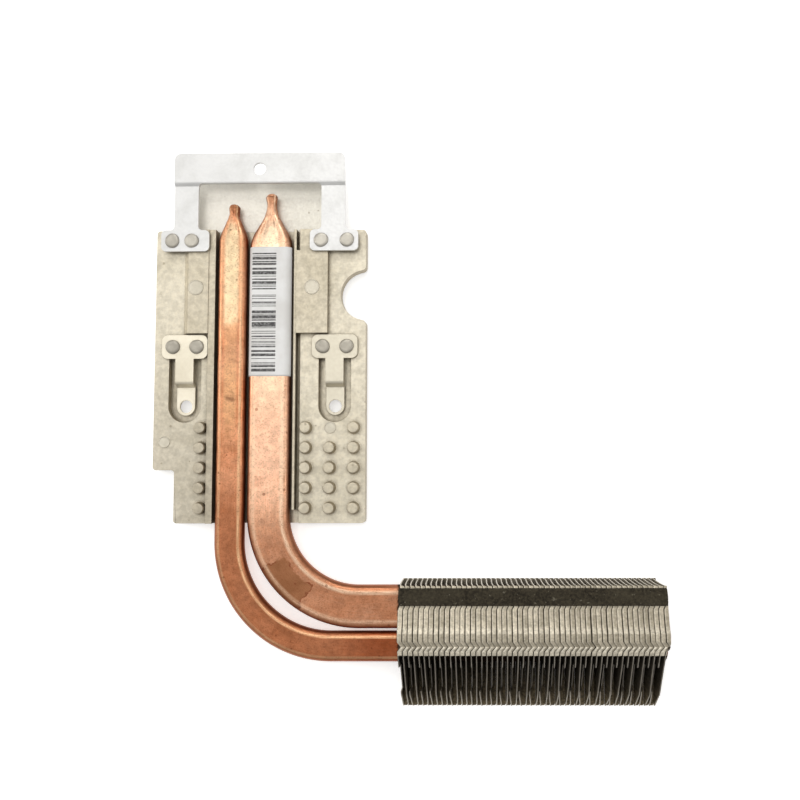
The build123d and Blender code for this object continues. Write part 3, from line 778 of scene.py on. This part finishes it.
def labelSurface():
    rows, cols, flat = label["rows"], label["cols"], label["flat"]
    radius = label["round"] + label["lift"]
    reach = flat + radius * label["wrap"]
    walk = np.linspace(-reach, reach, cols)
    bendAngle = np.clip((np.abs(walk) - flat) / radius, 0, None)
    sideX = np.sign(walk) * (np.minimum(np.abs(walk), flat) + radius * np.sin(bendAngle))
    onPipe = np.abs(sideX) / (pipeFacts["wideHeatPipe"]["width"] / 2) / pipe["flatShare"]
    dish = pipe["dish"] * (1 - np.clip(onPipe, 0, 1) ** 2)
    height = pipe["z"] + radius * np.cos(bendAngle) - dish
    lengthways = np.linspace(0, 1, rows)[:, None]
    uneven = softNoise(rows, cols, label["blur"], label["blur"]) * label["uneven"]
    y = label["bottom"] + (label["top"] - label["bottom"]) * lengthways
    points = gridPoints(label["x"] + sideX, y, height + uneven)
    paperMap = cornerMap(((walk + reach) / (2 * reach))[None], lengthways)
    piece = meshObject("barcodeLabel", points, gridQuads(rows, cols, False), paperMap, turnOut=False)
    skin = piece.modifiers.new("paperThickness", "SOLIDIFY")
    skin.thickness = label["thick"] * mm
    skin.offset = 1.0
    settle(piece, labelPaper, ["barcode_label"])


labelSurface()

# Foam: a strip of rounded section along the stack's sloped top, with a torn skin
foam = dict(
    start=35.2, end=96.98, inset=0.6, wide=4, thick=0.8, round=0.28, endRound=0.3, y=-61.9, z=12,
    slope=3.5 / 12.8, steps=420, cornerSteps=6, topSteps=26, pores=0.018, swells=0.02, shrink=0.5,
    skinFrom=0.3)


def foamSurface():
    wide, thick, corner = foam["wide"], foam["thick"], foam["round"]
    low, high, steps = foam["start"], foam["end"], foam["steps"]
    quarter = np.linspace(0, np.pi / 2, foam["cornerSteps"])
    centres = [(wide - corner, thick - corner), (corner, thick - corner), (corner, corner),
               (wide - corner, corner)]
    walk = []
    for number, (across, up) in enumerate(centres):
        angle = quarter + number * np.pi / 2
        walk.append(np.stack([across + corner * np.cos(angle), up + corner * np.sin(angle)], 1))
    topFill = np.linspace(walk[0][-1], walk[1][0], foam["topSteps"])[1:-1]
    ring = np.concatenate([walk[0], topFill, walk[1], walk[2], walk[3]])
    length = np.linspace(low, high, steps)
    close = roundedEnd(np.minimum(length - low, high - length), foam["endRound"])
    pores = softNoise(steps, len(ring), 1.6, 1.4) * foam["pores"]
    rough = pores + softNoise(steps, len(ring), 9, 6) * foam["swells"]
    middle = np.array([wide / 2, thick / 2])
    share = close[:, None] * (1 - np.abs(rough) * foam["shrink"])
    outline = middle + (ring - middle)[None] * share[..., None]
    onSkin = ring[None, :, 1] > foam["skinFrom"]
    down = foam["inset"] + outline[..., 0]
    height = np.clip(outline[..., 1] + rough * onSkin, 0.0, thick)
    tilt = math.atan(foam["slope"])
    y = foam["y"] - down * math.cos(tilt) + height * math.sin(tilt)
    z = foam["z"] + down * math.sin(tilt) + height * math.cos(tilt)
    points = gridPoints(length[:, None], y, z)
    piece = meshObject("foamStrip", points, gridQuads(steps, len(ring), True))
    settle(piece, gasketFoam, ["foam_strip"])


foamSurface()
print("stage: label and foam")

# Fins: a sheet folded to a C. Columns go from the fan side to the outlet. Rows go round the C: 0 and 1 lower
# flange, 2 to 6 lower fold, 7 to 9 slot, 10 to 12 web, 13 to 17 upper fold, 18 to 21 upper flange.
# Cells inside the pipes' slot are left out.
fin = dict(
    count=52, first=35.2, pitch=1.19, fanY=-61.9, thick=0.25, reach=1.06, fold=0.2, foldSteps=5,
    frontRound=0.3, flangeEnd=15.5, length=30.6, top=15.5, squeezeBelow=6.6, slot=(0.93, 19.32, 1.73, 5.27),
    slotRows=(7, 8), notch=(18.7, 25.4), notchDrop=3.6, step=0.02, footTop=6.2, lips=(13.3, 14.35),
    lipRise=0.08)
# Columns, as distance out from the fan side. The slot and the notch add their own.
finColumns = [0, 0.05, 0.15, 0.3, 0.6, 2.5, 4.3, 4.5, 4.75, 5, 5.25, 7, 8.6, 9.5, 10, 10.2, 10.4, 11.2,
              12, 12.2, 12.7, 13.2, 13.35, 13.5, 13.9, 14.3, 14.45, 14.6, 15.1, 15.5, 15.52, 17, 20.6,
              22, 23.4, 24.6, 26.3, 28, 29.4, 30.1, 30.5]
# Upper edge of the web: distance out and height
finTop = ([0, 4.6, 7, 8.6, 9.5, 10.2, 12.1, 12.7, 13.3, 13.5, 14.3, 14.5, 15.5, 26.3, 30.5],
          [12, 13.26, 13.9, 14.42, 14.9, 15.33, 15.45, 15.28, 15, 15.06, 14.8, 14.5, 13.75, 6.2, 0.7])
# Reach of the lower flange
finFoot = ([0, 0.3, 30.2, 30.5], [0.9, 1.18, 1.18, 0.95])
# Sideways set of the upper flange: hooked at the foam, and a point at the ridge where fins lock
finHook = ([0, 4.5, 4.75, 5, 5.25, 12.1, 13.3, 14.4], [0.34, 0.34, 0.26, 0.1, 0, 0, 0.88, 0])
# Share of that set in the web's rows; rows below have none, rows above all
finFollow = [0.08, 0.3, 0.7]
# Extra reach of the flange at the ridge, to close its seam
finLock = ([12, 12.35, 13.15, 13.5], [0, 0.1, 0.1, 0])
# Free edge of the last fin, cut back below the ridge
lastEdge = ([0, 12.6, 14.2], [1.06, 1.06, 0.3])
# Paleness of the cut edge along the outlet
edgePale = ([0, 1, 15.4, 15.6, 22, 27, 30, 30.5], [0.85, 0.8, 0.55, 0.23, 0.23, 0.31, 0.55, 0.72])
# Unevenness: random spreads, of which the list is lean, bow, loose edge and roll, and where they act
sway = dict(
    slide=0.08, slideOver=(6, 12), reach=0.016, sheet=[0.026, 0.02, 0.12, 0.04], dip=0.05, dipReach=1.1,
    dipFrom=8, leanHeight=15, bowHeight=5, looseFrom=17, looseLong=9, limits=(-0.12, 1.1))
# Lean of the notched fins' feet, by the fin's number
footLean = ([8, 28], [0.21, 0.7])
# Painted shade with dust, and painted highlights: first row, row after the last, from and to along the fin,
# and amount, laid on in turn
everywhere = (-1, 99)
finShadeAndDust = [(5, 14, *everywhere, 1), (14, 15, *everywhere, 0.8), (15, 16, *everywhere, 0.4),
           (16, 17, *everywhere, 0.1), (7, 22, 15.5, 99, 1), (14, 22, 4.2, 4.5, 0.9)]
finHighlight = [(16, 18, *everywhere, 0.35), (15, 20, 9.3, 10.3, 0.45), (15, 19, 13.3, 14.35, 1),
           (15, 21, 14.4, 99, 0.4)]
# Least painted shade on the free edge, as a painted seam shadow, and share of the shade and dust along the
# fin
rimShade = 0.7
shadeAndDustAlong = ([0, 1, 4.5, 8], [0.4, 0.5, 0.85, 1])


def laidOn(out, rows, table):
    value = np.zeros((rows, len(out)))
    for first, after, low, high, amount in table:
        value[first:after, (out > low) & (out < high)] = amount
    return value


def finGrid(notched):
    low, high = fin["slot"][:2]
    notchLow, notchHigh = fin["notch"]
    step = fin["step"]
    own = [low, high, notchLow, notchLow + step, notchHigh, notchHigh + step]
    out = np.sort(np.array(finColumns + own))
    first, last = sway["slideOver"]
    slid = out + draw.normal(0, sway["slide"]) * (out > first) * (out < last)
    top = np.interp(slid, *finTop)
    if notched:
        top = top - fin["notchDrop"] * ((out > notchLow + step / 2) & (out < notchHigh + step / 2))
    return out, top


# Rows of the sheet round its C: sideways place and height
def finRows(out, top, flanged):
    fold = fin["fold"]
    # Reach of the upper flange, with a round front corner
    full = fin["reach"] + draw.normal(0, sway["reach"])
    least = fold + fin["step"]
    reach = (least + (full - least) * roundedEnd(out, fin["frontRound"])) * flanged
    foldTop = fold * flanged
    foldLow = np.minimum(fold, top * 0.4)
    quarter = np.linspace(0, np.pi / 2, fin["foldSteps"])
    lowReach = np.interp(out, *finFoot)
    squeeze = np.minimum(1, top / fin["squeezeBelow"])
    slotLow, slotHigh = fin["slot"][2:]
    base = slotHigh * squeeze
    rows = [(lowReach - (lowReach - foldLow) * t, 0 * out) for t in (0.0, 0.5)]
    rows += [(foldLow * (1 - np.sin(q)), foldLow * (1 - np.cos(q))) for q in quarter]
    rows += [(0 * out, np.maximum(level * squeeze, foldLow))
             for level in (slotLow, (slotLow + slotHigh) / 2, slotHigh)]
    rows += [(0 * out, base + (top - foldTop - base) * t) for t in (0.3, 0.62, 0.86)]
    rows += [(foldTop * (1 - np.cos(q)), top - foldTop * (1 - np.sin(q))) for q in quarter]
    rows += [(foldTop + np.maximum(reach - foldTop, 0) * t, top) for t in (0.33, 0.66, 0.92, 1.0)]
    return np.array([row[0] for row in rows]), np.array([row[1] for row in rows])


def finSurface(number):
    notched = number % 2 == 1
    out, top = finGrid(notched)
    flanged = (out <= fin["flangeEnd"]).astype(float)
    x, z = finRows(out, top, flanged)
    # Unevenness: lean, bow, a loose outlet edge and a flange that dips towards its free edge
    lean, bow, loose, roll = draw.normal(0, sway["sheet"])
    z = z + (roll - sway["dip"]) * np.clip(x / sway["dipReach"], 0, 1) * (z > sway["dipFrom"])
    hang = np.clip((out - sway["looseFrom"]) / sway["looseLong"], 0, 1) ** 2
    wave = bow * np.sin(np.pi * out / fin["length"]) + loose * hang
    x = x + lean * z / sway["leanHeight"] + wave * np.clip(z / sway["bowHeight"], 0, 1)
    slotRow = fin["slotRows"][0]
    x[slotRow:] = np.clip(x[slotRow:], *sway["limits"])
    x[-1] += np.interp(out, *finLock)
    # Rows near the top follow the sideways set; the foot of a notched fin leans to its full neighbour
    webRow = slotRow + 3
    follow = np.concatenate([np.zeros(webRow), finFollow, np.ones(len(x) - webRow - len(finFollow))])
    x = x + follow[:, None] * np.interp(out, *finHook) * flanged
    if number == fin["count"]:
        x = np.minimum(x, np.interp(out, *lastEdge))
    if notched and number > 1:
        atFoot = (out > fin["notch"][1] + fin["step"] / 2) * top / fin["footTop"]
        x = x - np.interp(number, *footLean) * atFoot * np.clip(z / np.maximum(top, 0.1), 0, 1) ** 3
    # Painted shade with some dust lies on the web and at the front of the flange, and a painted shadow along
    # the foam; painted highlights lie along the folds and locks
    shadeAndDust = laidOn(out, len(x), finShadeAndDust)
    shadeAndDust[-1] = np.maximum(shadeAndDust[-1], rimShade)
    shadeAndDust *= np.interp(out, *shadeAndDustAlong)
    highlight = laidOn(out, len(x), finHighlight)
    z = z + laidOn(out, len(x), [(15, 19, *fin["lips"], fin["lipRise"])])
    webX = fin["first"] + fin["pitch"] * (number - 1)
    points = gridPoints(webX + x, fin["fanY"] - out, np.clip(z, 0, fin["top"]))
    quads = gridQuads(len(x), len(out), False)
    rowOf, colOf = np.divmod(np.arange(len(quads)), len(out) - 1)
    inSlot = (out[colOf] >= fin["slot"][0] - 1e-6) & (out[colOf + 1] <= fin["slot"][1] + 1e-6)
    inSlot &= (rowOf >= slotRow) & (rowOf <= fin["slotRows"][1])
    values = {"shadeAndDust": shadeAndDust, "highlight": highlight, "tone": draw.uniform(0, 1), "edge": np.interp(out, *edgePale)}
    piece = meshObject("fin.%02d" % number, points, quads[~inSlot], None, values, sheetGap, turnOut=False,
                       crispRim=True)
    skin = piece.modifiers.new("sheetThickness", "SOLIDIFY")
    skin.thickness = fin["thick"] * mm
    skin.offset = -1.0
    skin.material_offset_rim = 1
    skin.material_offset = 2
    settle(piece, finAluminium, ["fin_%02d" % number])
    piece.data.materials.append(finEdge)
    piece.data.materials.append(finInside)


for number in range(1, fin["count"] + 1):
    finSurface(number)
print("stage: fins")


# Rays that come by a mirror or through
def mirroredRay(ray):
    return calc("MAXIMUM", ray["Is Glossy Ray"], ray["Is Transmission Ray"])


# Floor, in metres. Seen straight, mirrored or through, it is lifted a little to white; its shadows stay.
floorLook = dict(base=(0.95, 0.95, 0.95, 1), lift=0.46, half=1.5, drop=0.00002)
material, tree, shader = newMaterial("paleFloor", metallic=0.0, roughness=0.9)
shader.inputs["Base Color"].default_value = floorLook["base"]
shader.inputs["Emission Color"].default_value = (1, 1, 1, 1)
ray = add(tree, "LightPath").outputs
seen = calc("MAXIMUM", ray["Is Camera Ray"], mirroredRay(ray))
tree.links.new(times(seen, floorLook["lift"]), shader.inputs["Emission Strength"])
floorPoints = np.array([[-1, -1, 0], [1, -1, 0], [1, 1, 0], [-1, 1, 0]]) * floorLook["half"]
floor = meshObject("floor", floorPoints - [0, 0, floorLook["drop"]], np.array([[0, 1, 2, 3]]))
floor.data.materials.append(material)

# Sky: brighter overhead and to the upper left, white seen straight, pale mirrored or through
skyLook = dict(
    climb=(0.05, 0.95, 0.18, 0.83), leanY=0.28, leanX=0.12, mirrored=0.5, tint=(1, 0.99, 0.97, 1))
world = bpy.data.worlds.new("studio")
scene.world = world
world.use_nodes = True
sky = world.node_tree
sky.nodes.clear()
direction = axesOf(coordinate(sky, "Generated"))
lean = minus(times(direction[1], skyLook["leanY"]), times(direction[0], skyLook["leanX"]))
glow = times(span(direction[2], *skyLook["climb"]), plus(lean, 1.0))
ray = add(sky, "LightPath").outputs
mirrored = times(mirroredRay(ray), skyLook["mirrored"])
glow = calc("MAXIMUM", glow, calc("MAXIMUM", ray["Is Camera Ray"], mirrored))
backdrop = add(sky, "Background", {"Color": skyLook["tint"], "Strength": glow})
sky.links.new(backdrop.outputs[0], add(sky, "OutputWorld").inputs[0])

# Soft lamps: place and size in metres, watts and colour
lampAim = (0.035, -0.025, 0)
lamps = {
    "overheadLamp": ((-0.14, 0.16, 0.8), 0.3, 0.5, (1, 0.985, 0.96)),
    "topLamp": ((0.02, 0.5, 0.46), 0.26, 0.75, (1, 0.985, 0.96)),
    "rightLamp": ((0.52, 0, 0.42), 0.24, 0.42, (1, 0.975, 0.93)),
    "leftLamp": ((-0.52, 0.1, 0.26), 0.26, 0.53, (1, 0.985, 0.96)),
}


def softLamp(name, place, size, watts, colour):
    lamp = bpy.data.lights.new(name, "AREA")
    lamp.shape = "DISK"
    lamp.size = size
    lamp.energy = watts
    lamp.color = colour
    holder = newObject(name, lamp)
    holder.location = place
    x, y, z = np.array(lampAim) - np.array(place)
    holder.rotation_euler = (math.atan2(math.hypot(x, y), -z), 0.0, math.atan2(y, x) - math.pi / 2)


for name, facts in lamps.items():
    softLamp(name, *facts)

# Camera at the photo's place, worked out from the photo's own points
cameraPlace = dict(eye=(54.99, -33, 198.59), turns=(-3.56, -0.88, 0.19))
cameraLens = dict(sensor_width=36, lens=36, shift_x=-0.0891, shift_y=0.0128, clip_start=0.01)
camera = newObject("photoCamera", bpy.data.cameras.new("photoCamera"))
for key, value in cameraLens.items():
    setattr(camera.data, key, value)
eye, turns = Vector(cameraPlace["eye"]) * mm, Euler(-np.radians(cameraPlace["turns"]))
camera.matrix_world = Matrix.LocRotScale(eye, turns, None)
scene.camera = camera
scene.view_settings.view_transform = "Standard"
print("stage: floor, light and camera")
